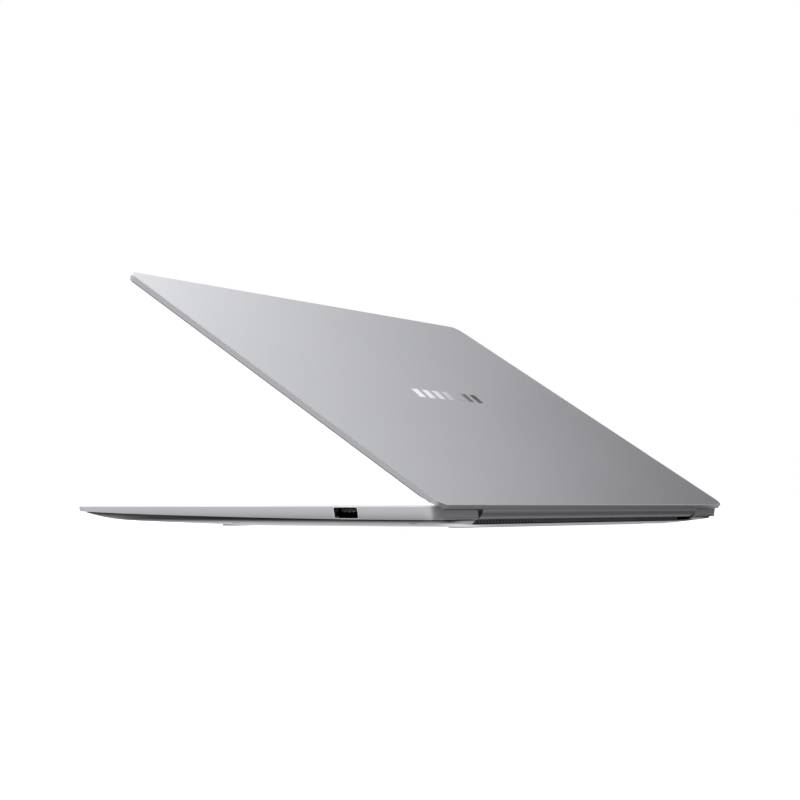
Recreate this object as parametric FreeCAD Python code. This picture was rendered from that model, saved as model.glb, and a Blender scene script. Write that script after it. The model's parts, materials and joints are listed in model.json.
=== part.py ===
"""Thin aluminium laptop computer with its lid part-open, one STEP file per piece.

Millimetres. Origin on the table under the middle of the machine, +X to the user's right,
+Y towards the hinge, +Z up. Lid pieces are drawn closed and flat, in millimetres from the
hinge axis, then turned up to the rest angle by save_lid().
"""
import FreeCAD, Part
import math
import os

V = FreeCAD.Vector
SIDES = (("left", -1), ("right", 1))

# Whole machine
WIDTH = 304.0
HALF_W = WIDTH / 2
REST_DEPTH = 216.82
FRONT_Y = -REST_DEPTH / 2
DECK_Z = 10.3
BASE_CORNER_R = 7.6
LID_CORNER_R = 6.6
WALL_DRAFT = math.tan(math.radians(14.0))

# Lid hinge
HINGE_Y = 102.17
HINGE_Z = 7.1
REST_OPEN_DEG = 32.07
PIN_R = 1.5
PIN_CLEARANCE = 0.06
KNUCKLE_R = 2.35
NOSE_R = 3.7
EAR_TOP_X = 119.4
EAR_LOW_X = 115.2

# Base shells
DECK_T = 1.3
RIM_CHAMFER = 0.6
BAND_LOW_Z = 3.7
BAND_CURVE = ((-112.0, 7.65), (-84.0, 6.6), (-26.5, 5.28), (43.5, 4.25), (112.0, 4.0))
SHADOW_GAP = 0.4
SEAM_INSET = 0.3
SEAM_PLAY = 0.02
COVER_T = 0.85
NOTCH_Y = HINGE_Y - 3.6
REAR_WALL_T = 1.5
CAVITY_HALF_W = 148.5
CAVITY_FRONT_Y = -104.5
CAVITY_REAR_Y = NOTCH_Y - REAR_WALL_T
CAVITY_R = 3.0

# Bottom cover outline at falling heights: height, side inset, front inset, rear edge from hinge
COVER_LEVELS = (
    (7.4, 0.9, 0.9, 2.3),
    (5.6, 1.4, 9.0, 2.3),
    (3.9, 2.0, 20.0, 2.1),
    (2.7, 6.5, 34.0, 1.2),
    (1.6, 20.0, 52.0, 0.2),
    (0.7, 32.0, 70.0, -1.6),
    (0.6, 40.0, 80.0, -3.2),
)
COVER_CORNER_GROWTH = 0.75

# Lid, heights above the hinge axis when closed
LID_LENGTH = 214.6
LID_REAR = 3.54
LID_FRONT = LID_REAR - LID_LENGTH
LID_FACE = 3.3
GASKET_TOP = 3.7
GLASS_BACK = 3.95
LID_BACK = 6.4
LID_CHAMFER = 0.3
LID_POCKET_TOP = 5.5
TAIL_FACE = 4.0
TAIL_FRONT = -2.2
CHIN_Y = -4.7
LID_WALL = 1.6

# Emblem on the lid's back: a row of slanted bars
BAR_COUNT = 7
BAR_PITCH = 9.6
BAR_HALF_W = 2.9
BAR_HALF_H = 4.6
BAR_LEAN = 1.6
BAR_DEPTH = 0.3
BAR_STAND = 0.03

# Keyboard
PITCH = 18.2
KEY_GAP = 2.6
KEY_CLEARANCE = 0.3
KEY_TOP_Z = DECK_Z - 0.3
KEY_T = 1.7
KEYS_LEFT_X = -7.5 * PITCH
KEYS_REAR_Y = 90.4
FUNCTION_ROW_D = 10.6
PLATE_Z = 6.0
PLATE_T = 0.45
MEMBRANE_T = 0.3

# Trackpad
PAD_W = 122.0
PAD_D = 76.0
PAD_REAR_Y = -21.0
PAD_T = 1.2
PAD_TOP_Z = DECK_Z - 0.1
PAD_CLEARANCE = 0.35

# Connectors
USB_A_Y = 58.15
USB_A_W = 12.0
USB_A_H = 4.1
USB_A_Z = 6.95
USB_C_YS = (52.0, 66.0)
USB_C_W = 8.34
USB_C_H = 2.56
USB_C_Z = 7.0
JACK_Y = 36.0
JACK_Z = 6.6
JACK_R = 1.8
JACK_BODY = 10.8
PORT_INNER_X = 138.2
PORT_IN = 144.0
PORT_WALL = 0.3
PORT_CHAMFER = 0.35

# Cooling
FAN_X = 90.0
FAN_Y = 58.0
FAN_SIZE = 48.0
FAN_Z = 2.2
FAN_H = 3.4
IMPELLER_R = 18.5
BLADES = 31
VENT_SLOT_W = 0.8

# Fasteners
SCREW_R = 0.8
SCREW_HEAD_R = 1.7
SCREW_SINK = 0.5
SCREW_HEAD_T = 0.4
BOSS_R = 2.4
SCREW_PLACES = ((136, -86), (138.5, -14.8), (141.5, 87), (40, 94.0))
FEET_FRONT_X = (58.0, 94.0)
FEET_FRONT_Y = (-62.0, -55.0)
FEET_FRONT_R = 3.4
FEET_REAR_HALF_W = 98.0
FEET_REAR_Y = (76.0, 84.0)
FEET_REAR_R = 3.9


def save(node, shape):
    shape.exportStep("parts/" + node + ".step")


def save_lid(node, shape):
    """Move a closed-lid shape to the hinge axis and turn it up to the rest angle."""
    placed = shape.copy()
    placed.translate(V(0, HINGE_Y, HINGE_Z))
    placed.rotate(V(0, HINGE_Y, HINGE_Z), V(-1, 0, 0), REST_OPEN_DEG)
    save(node, placed)


def box(x0, x1, y0, y1, z0, z1):
    return Part.makeBox(x1 - x0, y1 - y0, z1 - z0, V(x0, y0, z0))


def rod(centre, radius, length, direction=(0, 0, 1)):
    return Part.makeCylinder(radius, length, V(*centre), V(*direction))


def group(shapes):
    return Part.makeCompound(list(shapes))


def rounded_wire(x0, x1, y0, y1, radius, z):
    """Rectangle with round corners, in the plane at height z."""
    k = radius * (1 - math.sqrt(0.5))
    corners = (
        ((x1 - radius, y0), (x1 - k, y0 + k), (x1, y0 + radius)),
        ((x1, y1 - radius), (x1 - k, y1 - k), (x1 - radius, y1)),
        ((x0 + radius, y1), (x0 + k, y1 - k), (x0, y1 - radius)),
        ((x0, y0 + radius), (x0 + k, y0 + k), (x0 + radius, y0)),
    )
    arcs = [Part.Arc(*[V(x, y, z) for x, y in points]).toShape() for points in corners]
    edges = []
    for arc, following in zip(arcs, arcs[1:] + arcs[:1]):
        edges.append(arc)
        edges.append(Part.makeLine(arc.Vertexes[-1].Point, following.Vertexes[0].Point))
    return Part.Wire(edges)


def rounded_block(x0, x1, y0, y1, z0, z1, radius):
    face = Part.Face(rounded_wire(x0, x1, y0, y1, radius, z0))
    return face.extrude(V(0, 0, z1 - z0))


def side_profile(points, x0, x1):
    """Closed outline of (y, z) points, carried along X."""
    wire = Part.makePolygon([V(x0, y, z) for y, z in points + points[:1]])
    return Part.Face(wire).extrude(V(x1 - x0, 0, 0))


def rear_profile(points, y0, y1):
    """Closed outline of (x, z) points, carried along Y."""
    wire = Part.makePolygon([V(x, y0, z) for x, z in points + points[:1]])
    return Part.Face(wire).extrude(V(0, y1 - y0, 0))


def mirror_x(shape):
    return shape.mirror(V(0, 0, 0), V(1, 0, 0))


# Base shells

def band_region(drop):
    """Everything above the lower edge of the side band, lowered by drop, up to the deck."""
    curve = Part.BSplineCurve()
    curve.interpolate([V(-HALF_W - 5, y, z - drop) for y, z in BAND_CURVE])
    low = curve.toShape()
    start = low.Vertexes[0].Point
    end = low.Vertexes[-1].Point
    top_end = V(end.x, end.y, DECK_Z + 5)
    top_start = V(start.x, start.y, DECK_Z + 5)
    edges = [
        low,
        Part.makeLine(end, top_end),
        Part.makeLine(top_end, top_start),
        Part.makeLine(top_start, start),
    ]
    return Part.Face(Part.Wire(edges)).extrude(V(WIDTH + 10, 0, 0))


def base_outline(inset, z):
    rear = HINGE_Y + NOSE_R
    radius = BASE_CORNER_R - inset
    return rounded_wire(
        -HALF_W + inset, HALF_W - inset, FRONT_Y + inset, rear - inset * 0.5, radius, z
    )


def base_block():
    """Solid of the deck and side walls: chamfered rim, drafted sides, round nose at the rear."""
    rim = Part.makeLoft(
        [base_outline(RIM_CHAMFER, DECK_Z), base_outline(0, DECK_Z - RIM_CHAMFER)], True, True
    )
    low_z = BAND_LOW_Z - 1
    low_inset = (DECK_Z - RIM_CHAMFER - low_z) * WALL_DRAFT
    walls = Part.makeLoft(
        [base_outline(0, DECK_Z - RIM_CHAMFER), base_outline(low_inset, low_z)], True, True
    )
    block = rim.fuse(walls)
    nose = rod((-HALF_W, HINGE_Y, HINGE_Z), NOSE_R, WIDTH, (1, 0, 0))
    ahead = box(-HALF_W, HALF_W, FRONT_Y - 1, HINGE_Y, low_z, DECK_Z)
    return block.common(nose.fuse(ahead)).common(band_region(0)).removeSplitter()


def ear_notch():
    """Space of the hinge cover between the two rear ears."""
    slope = (EAR_TOP_X - EAR_LOW_X) / (DECK_Z - 1.8)
    top = EAR_TOP_X + slope
    points = [(-top, DECK_Z + 1.0), (top, DECK_Z + 1.0), (EAR_LOW_X, 1.8), (-EAR_LOW_X, 1.8)]
    return rear_profile(points, NOTCH_Y, HINGE_Y + 10)


def key_rows():
    """Keys as name, left edge and width in pitches, front edge and depth in millimetres."""
    keys = []

    def row(index, entries):
        front = KEYS_REAR_Y - FUNCTION_ROW_D - index * PITCH
        left = 0.0
        for name, width in entries:
            keys.append((name, left, width, front, PITCH))
            left += width

    row(1, [("number_row_keys", 1)] * 13 + [("backspace_key", 2)])
    row(2, [("top_letter_row_keys", 1.5)] + [("top_letter_row_keys", 1)] * 12
        + [("top_letter_row_keys", 1.5)])
    row(3, [("home_row_keys", 1.75)] + [("home_row_keys", 1)] * 11 + [("enter_key", 2.25)])
    row(4, [("left_shift_key", 2.25)] + [("bottom_letter_row_keys", 1)] * 10
        + [("right_shift_key", 2.75)])
    row(5, [("modifier_row_keys", 1.25)] + [("modifier_row_keys", 1)] * 2
        + [("modifier_row_keys", 1.25), ("space_bar", 5.5), ("modifier_row_keys", 1.25)]
        + [("modifier_row_keys", 1)])
    function_front = KEYS_REAR_Y - FUNCTION_ROW_D
    for column in range(15):
        name = "power_button" if column == 14 else "function_row_keys"
        keys.append((name, column, 1, function_front, FUNCTION_ROW_D))
    arrow_front = KEYS_REAR_Y - FUNCTION_ROW_D - 5 * PITCH
    third = 2.75 / 3
    half = PITCH / 2
    keys.append(("arrow_keys", 12.25, third, arrow_front, half))
    keys.append(("arrow_keys", 12.25 + third, third, arrow_front, half))
    keys.append(("arrow_keys", 12.25 + third, third, arrow_front + half, half))
    keys.append(("arrow_keys", 12.25 + 2 * third, third, arrow_front, half))
    return keys


def key_box(key, grow, z0, z1, radius):
    """Round-cornered block in one key's place, grow larger than the cap all round."""
    _, left, width, front, depth = key
    gap = KEY_GAP / 2 if depth > PITCH * 0.7 else KEY_GAP * 0.3
    x0 = KEYS_LEFT_X + left * PITCH + KEY_GAP / 2
    x1 = KEYS_LEFT_X + (left + width) * PITCH - KEY_GAP / 2
    y0 = front + gap
    y1 = front + depth - gap
    return rounded_block(x0 - grow, x1 + grow, y0 - grow, y1 + grow, z0, z1, radius + grow)


def grille_holes(side):
    """Three staggered lines of small sound holes beside the keyboard."""
    holes = []
    for line in range(3):
        for step in range(28):
            x = side * (141.4 + line * 2.2)
            y = -6.0 + step * 3.2 + (line % 2) * 1.6
            holes.append(rod((x, y, DECK_Z - 1), 0.6, 2))
    return holes


def screw_places():
    return [(side * x, y) for x, y in SCREW_PLACES for side in (-1, 1)]


def cover_bottom_z(x, y):
    """Height of the cover's outer surface above one place."""
    probe = Part.makeLine(V(x, y, -1), V(x, y, 9))
    return cover_outer(0).common(probe).BoundBox.ZMin


def cover_outer(inset):
    """Lofted dish of the bottom cover; inset shrinks and lifts it for the inside."""
    wires = []
    for height, side_inset, front_inset, rear in COVER_LEVELS:
        radius = BASE_CORNER_R + side_inset * COVER_CORNER_GROWTH - inset
        half = HALF_W - side_inset - inset
        front = FRONT_Y + front_inset + inset
        wires.append(rounded_wire(-half, half, front, HINGE_Y + rear - inset, radius, height + inset))
    return Part.makeLoft(wires, True, False)


def hinge_pocket(side):
    """Room inside each ear for the hinge bracket's arm, and the hole for its pin."""
    x0, x1 = sorted((side * 121.6, side * 134.6))
    arm = box(x0, x1, CAVITY_REAR_Y - 2, HINGE_Y + 2.2, 0, DECK_Z - DECK_T)
    start = min(side * 112.0, side * 123.0)
    pin = rod((start, HINGE_Y, HINGE_Z), PIN_R + PIN_CLEARANCE, 11.0, (1, 0, 0))
    return arm.fuse(pin)


def chamfer_ports(block):
    """Break the outer edge of each USB opening in the side walls."""
    edges = []
    for edge in block.Edges:
        middle = edge.BoundBox.Center
        outside = abs(middle.x) > HALF_W - 2.5 and edge.BoundBox.XLength < 2
        near = JACK_Y + JACK_R < edge.BoundBox.YMin and edge.BoundBox.YMax < USB_C_YS[1] + USB_C_W
        if outside and near and edge.BoundBox.YLength < USB_A_W + 1:
            edges.append(edge)
    return block.makeChamfer(PORT_CHAMFER, edges)


def top_case():
    block = chamfer_ports(base_block().cut(port_openings())).cut(ear_notch())
    cavity = rounded_block(
        -CAVITY_HALF_W, CAVITY_HALF_W, CAVITY_FRONT_Y, CAVITY_REAR_Y, 0, DECK_Z - DECK_T, CAVITY_R
    )
    bosses = []
    for x, y in screw_places():
        height = cover_bottom_z(x, y) + 1.9
        bosses.append(rod((x, y, height), BOSS_R, DECK_Z - DECK_T - height + 0.2))
    shell = block.cut(cavity).fuse(bosses).common(base_block())
    cutters = []
    for key in key_rows():
        cutters.append(key_box(key, KEY_CLEARANCE, DECK_Z - DECK_T - 1, DECK_Z + 1, 0.8))
    cutters.append(rounded_block(
        -PAD_W / 2 - PAD_CLEARANCE, PAD_W / 2 + PAD_CLEARANCE,
        PAD_REAR_Y - PAD_D - PAD_CLEARANCE, PAD_REAR_Y + PAD_CLEARANCE,
        DECK_Z - DECK_T - 1, DECK_Z + 1, 2.5))
    for _, side in SIDES:
        x0, x1 = sorted((side * 139.9, side * 147.4))
        cutters.append(rounded_block(x0, x1, -8.6, 84.6, DECK_Z - 0.6, DECK_Z + 1, 1.2))
        x0, x1 = sorted((side * 140.6, side * 146.8))
        cutters.append(rounded_block(x0, x1, -7.6, 83.6, 0, DECK_Z + 1, 1.0))
        cutters.append(hinge_pocket(side))
    for x, y in screw_places():
        cutters.append(rod((x, y, 0), SCREW_R + 0.05, 7.6))
    cutters += port_rooms()
    cutters.append(rounded_block(-14, 14, FRONT_Y - 5, FRONT_Y + 1.1, DECK_Z - 1.1, DECK_Z + 1, 1.0))
    return shell.cut(group(cutters)).removeSplitter()


def port_openings():
    """Openings for both kinds of USB plug and for the audio plug, through the side walls."""
    usb_a = rounded_along_x(PORT_IN, HALF_W + 1, USB_A_Y, USB_A_Z, USB_A_W, USB_A_H, 0.5)
    jack = rod((-HALF_W - 1, JACK_Y, JACK_Z), JACK_R, HALF_W + 1 - PORT_IN, (1, 0, 0))
    usb_c = [
        rounded_along_x(-HALF_W - 1, -PORT_IN, y, USB_C_Z, USB_C_W, USB_C_H, USB_C_H * 0.48)
        for y in USB_C_YS
    ]
    return group([usb_a, jack, jack_countersink()] + usb_c)


def jack_countersink():
    """Cone square to the slanted wall that breaks the audio hole's edge."""
    wall = HALF_W - (DECK_Z - RIM_CHAMFER - JACK_Z) * WALL_DRAFT
    inward = V(1, 0, WALL_DRAFT).normalize()
    start = V(-wall, JACK_Y, JACK_Z) - inward * PORT_CHAMFER
    return Part.makeCone(JACK_R + 2 * PORT_CHAMFER, JACK_R, 2 * PORT_CHAMFER, start, inward)


def port_rooms():
    """Room behind the wall for the USB-A shell."""
    half = USB_A_W / 2 + PORT_WALL + 0.1
    top = USB_A_Z + USB_A_H / 2 + PORT_WALL + 0.1
    return [box(PORT_INNER_X - 0.5, CAVITY_HALF_W, USB_A_Y - half, USB_A_Y + half, 2.0, top)]


def rounded_along_x(x0, x1, y, z, width, height, radius):
    """Round-cornered bar along X, centred on (y, z)."""
    bar = rounded_block(-height / 2, height / 2, -width / 2, width / 2, 0, x1 - x0, radius)
    bar.rotate(V(0, 0, 0), V(0, 1, 0), 90)
    bar.translate(V(x0, y, z))
    return bar


def bottom_cover():
    shell = cover_outer(0).cut(cover_outer(COVER_T))
    shell = shell.cut(band_region(SHADOW_GAP))
    middle = box(-EAR_LOW_X - 1, EAR_LOW_X + 1, NOTCH_Y, HINGE_Y + 6, 0, 1.83)
    above = box(-EAR_LOW_X - 3, EAR_LOW_X + 3, NOTCH_Y - 0.8, HINGE_Y + 6, 1.83, 9)
    behind = box(-EAR_LOW_X - 3, EAR_LOW_X + 3, HINGE_Y + 0.2, HINGE_Y + 6, 0, 9)
    fill = middle.common(cover_outer(0))
    shell = shell.fuse(fill).cut(above).cut(behind)
    cutters = []
    for x, y in screw_places():
        height = cover_bottom_z(x, y)
        cutters.append(rod((x, y, 0), SCREW_R + 0.15, 9))
        cutters.append(rod((x, y, 0), SCREW_HEAD_R + 0.15, height + SCREW_SINK))
    for side in (-1, 1):
        for row in range(5):
            for column in range(14):
                x = side * FAN_X + (column - 6.5) * 3.2
                y = FAN_Y + (row - 2) * 5.0
                cutters.append(box(x - 0.7, x + 0.7, y - 1.7, y + 1.7, 0, 2.15))
    return shell.cut(group(cutters))


def seam_gasket():
    """Dark strip deep in the seam between the side walls and the bottom cover."""
    ring = cover_outer(SEAM_INSET).cut(cover_outer(COVER_T))
    seam = band_region(SHADOW_GAP - SEAM_PLAY).cut(band_region(SEAM_PLAY))
    opening = box(-EAR_LOW_X - 3, EAR_LOW_X + 3, NOTCH_Y - 0.9, HINGE_Y + 6, 0, 9)
    return ring.common(seam).cut(opening).removeSplitter()


def speaker_grille(side):
    x0, x1 = sorted((side * 140.0, side * 147.3))
    plate = rounded_block(x0, x1, -8.5, 84.5, DECK_Z - 0.6, DECK_Z - 0.05, 1.1)
    return plate.cut(group(grille_holes(side)))


def rubber_feet():
    feet = []
    for side in (-1, 1):
        x0, x1 = sorted(side * x for x in FEET_FRONT_X)
        feet.append(rounded_block(x0, x1, *FEET_FRONT_Y, 0, 4, FEET_FRONT_R))
    feet.append(rounded_block(
        -FEET_REAR_HALF_W, FEET_REAR_HALF_W, *FEET_REAR_Y, 0, 4, FEET_REAR_R))
    cover = cover_outer(0)
    return group([foot.cut(cover).Solids[0] for foot in feet])


def bottom_screws():
    screws = []
    for x, y in screw_places():
        height = cover_bottom_z(x, y)
        low = height + SCREW_SINK - SCREW_HEAD_T
        head = rod((x, y, low), SCREW_HEAD_R, SCREW_HEAD_T)
        socket = rod((x, y, low - 0.1), 0.75, 0.35)
        shank = rod((x, y, low + 0.3), SCREW_R, 3.0)
        screws.append(head.fuse(shank).cut(socket).removeSplitter())
    return group(screws)


# Hinge hardware in the base

def hinge_bracket(side):
    """Steel plate under the deck, with the arm and pin that carry the lid."""
    plate = box(120.5, 138.5, 76, 95.5, 4.4, 5.4)
    arm = box(122.0, 134.0, 92, HINGE_Y, 4.9, 9.0 - 0.1)
    arm = arm.fuse(rod((122.0, HINGE_Y, HINGE_Z), 1.8, 12.0, (1, 0, 0)))
    pin = rod((101.0, HINGE_Y, HINGE_Z), PIN_R, 22.0, (1, 0, 0))
    bracket = plate.fuse([arm, pin])
    holes = [rod((x, y, 4), 1.05, 2) for x, y in ((124, 80), (135, 80), (130, 88))]
    bracket = bracket.cut(group(holes)).removeSplitter()
    return bracket if side > 0 else mirror_x(bracket)


def hinge_screws():
    screws = []
    for side in (-1, 1):
        for x, y in ((124, 80), (135, 80), (130, 88)):
            head = rod((side * x, y, 3.7), 1.8, 0.7)
            shank = rod((side * x, y, 4.4), 0.95, 1.3)
            screws.append(head.fuse(shank).removeSplitter())
    return group(screws)


# Electronics in the base

def motherboard():
    board = box(-62, 62, 22, 84, 4.6, 5.3)
    relief = rod((0, 88, 4), 12, 2)
    holes = [rod((x, y, 4), 1.2, 2) for x in (-57, 57) for y in (27, 79)]
    return board.cut(group(holes + [relief]))


def memory_chips():
    chips = []
    for column in range(2):
        for row in range(2):
            x = 26 + column * 15
            y = 50 + row * 13
            chips.append(box(x, x + 12, y, y + 10.5, 3.7, 4.6))
    return group(chips)


def processor():
    package = box(-16, 16, 48, 66, 4.0, 4.6)
    die = box(-8, 8, 52, 62, 3.6, 4.0)
    return package.fuse(die).removeSplitter()


def ssd_module():
    card = box(-60, 18, 24, 44, 3.5, 4.2)
    chips = [box(x, x + 13, 27.5, 40.5, 2.5, 3.5) for x in (-54, -36, -14)]
    connector = box(18, 22, 24.5, 43.5, 3.3, 4.6)
    return card.fuse(chips + [connector]).removeSplitter()


def wifi_module():
    card = box(28, 54, 24, 44, 3.7, 4.3)
    shield = box(31, 51, 27, 42, 2.7, 3.7)
    seat = box(54, 57, 25, 43, 3.5, 4.6)
    return card.fuse([shield, seat]).removeSplitter()


def heat_pipe():
    """Flat pipe from the processor out to the fin stacks beside both fans."""
    pad = rounded_block(-14, 14, 49, 65, 2.7, 3.6, 1.5)
    middle = rounded_block(-58, 58, 70.5, 78.5, 2.4, 3.5, 3.0)
    neck = box(-7, 7, 60, 75, 2.7, 3.5)
    ends = []
    for side in (-1, 1):
        x0, x1 = sorted((side * 50, side * 112))
        ends.append(rounded_block(x0, x1, 83.4, 92.0, 5.52, 5.92, 2.0))
        x0, x1 = sorted((side * 50, side * 58))
        ends.append(box(x0, x1, 70.8, 92.0, 2.6, 3.4))
        ends.append(box(x0, x1, 85.0, 92.0, 2.6, 5.92))
    return pad.fuse([middle, neck] + ends).removeSplitter()


def heat_sink_fins():
    stacks = []
    for side in (-1, 1):
        fins = [box(side * 90 - 23, side * 90 + 23, 85.0, 92.0, 5.2, 5.5)]
        fins.append(box(side * 90 - 23, side * 90 + 23, 85.0, 92.0, 2.2, 2.45))
        for step in range(32):
            x = side * 90 - 22.6 + step * 1.45
            fins.append(box(x, x + 0.25, 85.0, 92.0, 2.3, 5.3))
        stacks.append(fins[0].fuse(fins[1:]).removeSplitter())
    return group(stacks)


def fan_housing(side):
    x = side * FAN_X
    half = FAN_SIZE / 2
    block = rounded_block(x - half, x + half, FAN_Y - half, FAN_Y + half, FAN_Z, FAN_Z + FAN_H, 5)
    chamber = rod((x, FAN_Y, FAN_Z + 0.4), IMPELLER_R + 1.5, FAN_H - 0.8)
    outlet = box(x - 19, x + 19, FAN_Y, FAN_Y + half + 2, FAN_Z + 0.4, FAN_Z + FAN_H - 0.4)
    intake = rod((x, FAN_Y, FAN_Z - 1), 12.5, 2)
    housing = block.cut(chamber.fuse(outlet)).cut(intake)
    spindle = rod((x, FAN_Y, FAN_Z + 0.9), 1.0, FAN_H - 0.9)
    return housing.fuse(spindle).removeSplitter()


def fan_impeller(side):
    x = side * FAN_X
    low = FAN_Z + 0.7
    high = FAN_Z + FAN_H - 0.7
    hub = rod((x, FAN_Y, low), 7.5, high - low)
    blades = []
    for index in range(BLADES):
        blade = box(6.8, IMPELLER_R, -0.25, 0.25, low, high - 0.1)
        blade.rotate(V(8, 0, 0), V(0, 0, 1), 28)
        blade.rotate(V(0, 0, 0), V(0, 0, 1), 360.0 * index / BLADES)
        blade.translate(V(x, FAN_Y, 0))
        blades.append(blade)
    wheel = hub.fuse(blades)
    bore = rod((x, FAN_Y, low - 1), 1.0 + PIN_CLEARANCE, high - low + 2)
    return wheel.cut(bore).removeSplitter()


def battery_cells():
    cells = []
    for index in range(4):
        x = -130 + index * 65.5
        cells.append(rounded_block(x, x + 63.5, -70, -18, 3.9, 7.4, 1.6))
    return group(cells)


def battery_cable():
    run = box(4, 16, -17.9, 22.0, 3.95, 4.25)
    plug = box(3, 17, 19.0, 23.4, 4.25, 4.6)
    tail = box(-125, 125, -17.9, -14.5, 3.95, 4.9)
    return run.fuse([plug, tail]).removeSplitter()


def keyboard_plate():
    """Steel plate under the keys with a rim up to the deck."""
    x1 = 7.5 * PITCH + 0.6
    y0 = KEYS_REAR_Y - FUNCTION_ROW_D - 5 * PITCH - 0.6
    y1 = KEYS_REAR_Y + 0.9
    top = DECK_Z - DECK_T
    block = box(-x1, x1, y0, y1, PLATE_Z, top)
    well = box(-x1 + 0.7, x1 - 0.7, y0 + 0.7, y1 - 0.7, PLATE_Z + PLATE_T, top + 1)
    return block.cut(well)


def keyboard_membrane():
    x1 = 7.5 * PITCH - 0.4
    y0 = KEYS_REAR_Y - FUNCTION_ROW_D - 5 * PITCH + 0.4
    y1 = KEYS_REAR_Y - 0.1
    z0 = PLATE_Z + PLATE_T
    return box(-x1, x1, y0, y1, z0, z0 + MEMBRANE_T)


def key_cap(key):
    cap = key_box(key, 0, KEY_TOP_Z - KEY_T, KEY_TOP_Z, 0.8)
    rim = [edge for edge in cap.Edges if edge.BoundBox.ZMin > KEY_TOP_Z - 0.01]
    return cap.makeChamfer(0.2, rim)


def save_keys():
    caps = {}
    for key in key_rows():
        caps.setdefault(key[0], []).append(key_cap(key))
    for name, solids in caps.items():
        save(name, solids[0] if len(solids) == 1 else group(solids))


def trackpad():
    pad = rounded_block(
        -PAD_W / 2, PAD_W / 2, PAD_REAR_Y - PAD_D, PAD_REAR_Y, PAD_TOP_Z - PAD_T, PAD_TOP_Z, 2.2)
    button = rod((0, PAD_REAR_Y - PAD_D + 12, PAD_TOP_Z - PAD_T - 0.25), 2.0, 0.3)
    return pad.fuse(button).removeSplitter()


def trackpad_bracket():
    y0 = PAD_REAR_Y - PAD_D
    tray = rounded_block(-PAD_W / 2 - 4, PAD_W / 2 + 4, y0 - 3.4, PAD_REAR_Y + 3.4, 7.7, 9.0, 2.5)
    room = rounded_block(-PAD_W / 2 - 0.6, PAD_W / 2 + 0.6, y0 - 0.6, PAD_REAR_Y + 0.6, 8.2, 10, 2.5)
    windows = [box(x, x + 24, y0 + 20, y0 + 62, 7, 9) for x in (-56, -26, 4, 33)]
    return tray.cut(group([room] + windows))


def speaker(side):
    x0, x1 = sorted((side * 117.0, side * 140.4))
    body = rounded_block(x0, x1, -9, 30, 3.6, 5.8, 2.0)
    x0, x1 = sorted((side * 139.2, side * 147.0))
    tower = rounded_block(x0, x1, -7, 29, 5.2, DECK_Z - DECK_T - 0.3, 1.1)
    port = rounded_block(side * 143.6 - 2.4, side * 143.6 + 2.4, -2, 26, 6.8, 9.5, 1.0)
    return body.fuse(tower).cut(port).removeSplitter()


def usb_a_shell():
    x0, x1 = PORT_INNER_X, 148.4
    outer = rounded_along_x(
        x0, x1, USB_A_Y, USB_A_Z, USB_A_W + 2 * PORT_WALL, USB_A_H + 2 * PORT_WALL, 0.7)
    inner = rounded_along_x(x0 + 0.6, x1 + 1, USB_A_Y, USB_A_Z, USB_A_W, USB_A_H, 0.45)
    return outer.cut(inner)


def usb_a_tongue():
    z = USB_A_Z + 0.55
    tongue = box(PORT_INNER_X + 0.6, 147.6, USB_A_Y - 5.2, USB_A_Y + 5.2, z, z + 1.2)
    contacts = [
        box(141, 147, USB_A_Y + offset - 0.5, USB_A_Y + offset + 0.5, z - 0.12, z)
        for offset in (-3.5, -1.1, 1.1, 3.5)
    ]
    return tongue.fuse(contacts).removeSplitter()


def usb_c_ports():
    """Two oval shells, each with its tongue fixed to the back wall."""
    ports = []
    for y in USB_C_YS:
        outer = rounded_along_x(-148.4, -139, y, USB_C_Z, USB_C_W + 0.6, USB_C_H + 0.6, 1.5)
        inner = rounded_along_x(-149, -140, y, USB_C_Z, USB_C_W, USB_C_H, 1.22)
        tongue = box(-147.6, -139.5, y - 3.3, y + 3.3, USB_C_Z - 0.35, USB_C_Z + 0.35)
        ports.append(outer.cut(inner).fuse(tongue).removeSplitter())
    return group(ports)


def audio_jack():
    x0 = -148.4
    body = box(x0, x0 + JACK_BODY, JACK_Y - 3, JACK_Y + 3, 4.5, 8.95)
    bore = rod((x0 - 1, JACK_Y, JACK_Z), JACK_R, JACK_BODY, (1, 0, 0))
    return body.cut(bore)


def io_boards():
    right = box(118.5, 146.0, 46, 73, 4.0, 4.55)
    left = box(-146.0, -118.5, 44, 73, 4.75, 5.35)
    return group([left, right])


def io_flex_cable():
    lower = box(59.5, 134, 30.4, 33.4, 5.35, 5.55)
    turn = box(119.5, 134, 31.2, 49.5, 5.35, 5.55)
    foot = box(119.5, 134, 46.2, 49.5, 4.55, 5.55)
    return lower.fuse([turn, foot]).removeSplitter()


def rear_vent_grille():
    """Ribbed strip that closes the gap between the deck's rear wall and the cover."""
    y0 = NOTCH_Y - REAR_WALL_T + 0.1
    y1 = NOTCH_Y - 0.9
    strip = box(-111, 111, y0, y1, 2.2, 3.95)
    slots = []
    for side in (-1, 1):
        for step in range(24):
            x = side * 90 - 34.5 + step * 2.9
            if abs(x) < 108:
                slots.append(box(x, x + VENT_SLOT_W, y0 - 1, y1 + 1, 2.35, 3.55))
    return strip.cut(group(slots))


# Lid, closed, in millimetres from the hinge axis

def lid_wire(inset, z, rear=LID_REAR):
    return rounded_wire(
        -HALF_W + inset, HALF_W - inset, LID_FRONT + inset, rear - inset, LID_CORNER_R - inset, z)


def lid_prism(inset, z0, z1, rear=LID_REAR):
    return Part.Face(lid_wire(inset, z0, rear)).extrude(V(0, 0, z1 - z0))


def lid_pocket(inset, rear, z0, z1):
    """Round-cornered block the same distance inside the lid's outline all round, up to the chin."""
    return rounded_block(
        -HALF_W + inset, HALF_W - inset, LID_FRONT + inset, rear, z0, z1, LID_CORNER_R - inset)


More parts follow.
